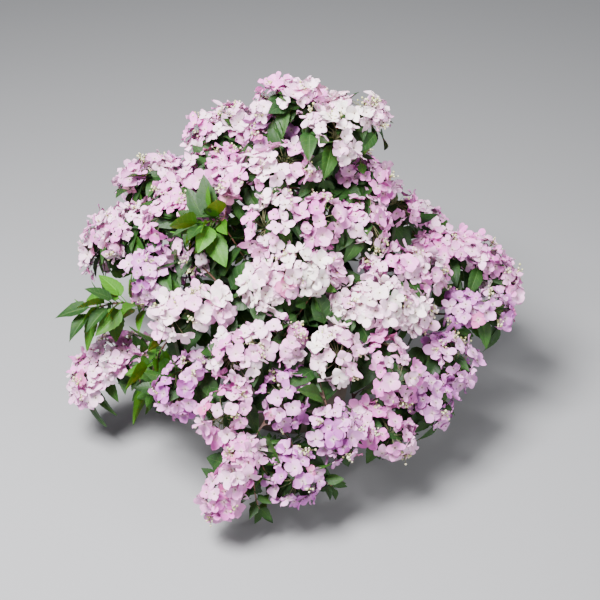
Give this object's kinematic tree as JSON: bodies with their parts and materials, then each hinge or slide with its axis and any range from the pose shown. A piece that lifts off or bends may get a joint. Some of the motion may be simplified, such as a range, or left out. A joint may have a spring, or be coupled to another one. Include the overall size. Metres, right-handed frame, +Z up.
{
  "type": "potted hydrangea",
  "caption": "A wide, mounded garland hydrangea with pale pink and white four-petalled flowers along arching canes, in a plain round clay pot.",
  "frame": {"origin": "middle of the pot's flat foot, on the surface that the pot stands on", "axes": "+Z straight up, -Y to the front of the plant, the side that the picture shows, and +X to its right"},
  "size_m": [1.151, 1.1523, 0.8958],
  "materials": {
    "clay": "matt unglazed grey-brown clay",
    "compost": "moist crumbly potting compost",
    "greenery": "satin green leaves on red-brown canes",
    "bark": "smooth dark red-brown young bark",
    "petals_white": "soft matt petals, nearly white",
    "petals_blush": "soft matt petals, pale pink",
    "petals_pink": "soft matt petals, lilac pink",
    "petals_mauve": "soft matt petals, shaded mauve"
  },
  "bodies": {
    "root": {"pot": "clay", "soil": "compost", "flowers_spire": "petals_blush", "flowers_top_right": "petals_white", "flowers_top_fall": "petals_white", "flowers_crown_back": "petals_mauve", "flowers_crown_row": "petals_blush", "flowers_crown": "petals_blush", "flowers_crown_right": "petals_pink", "flowers_right_top": "petals_pink", "flowers_right_crown": "petals_blush", "flowers_right_shoulder": "petals_pink", "flowers_right_upper": "petals_pink", "flowers_back_right_top": "petals_blush", "flowers_back_middle_right": "petals_pink", "flowers_back_low_right": "petals_blush", "flowers_right_back": "petals_blush", "flowers_back_top": "petals_pink", "flowers_back_middle": "petals_white", "flowers_back_low": "petals_pink", "flowers_left_top": "petals_blush", "flowers_back_crown": "petals_blush", "flowers_back_left_high": "petals_mauve", "flowers_back_low_left": "petals_blush", "flowers_left_back": "petals_blush", "flowers_upper_left": "petals_blush", "flowers_upper_left_low": "petals_pink", "flowers_left_upper": "petals_pink", "flowers_left": "petals_blush", "flowers_left_inner": "petals_pink", "flowers_diagonal_low": "petals_white", "flowers_left_middle": "petals_mauve", "flowers_front_left_upper": "petals_blush", "flowers_left_front": "petals_mauve", "flowers_middle_left": "petals_pink", "flowers_left_low": "petals_blush", "flowers_diagonal_high": "petals_white", "flowers_middle": "petals_mauve", "flowers_front_white": "petals_white", "flowers_low_mauve": "petals_mauve", "flowers_trail": "petals_pink", "flowers_low_front": "petals_mauve", "flowers_right_lower": "petals_mauve", "flowers_right_middle": "petals_blush", "flowers_front_band": "petals_white", "flowers_front_right": "petals_pink", "flowers_right_front": "petals_mauve", "flowers_low_right": "petals_pink", "flowers_right_low": "petals_mauve", "canes_crown": "greenery", "canes_right": "greenery", "canes_back_right": "greenery", "canes_back": "greenery", "canes_back_left": "greenery", "canes_left": "greenery", "canes_front_left": "greenery", "canes_front": "greenery", "canes_front_right": "greenery"}
  },
  "joints": []
}
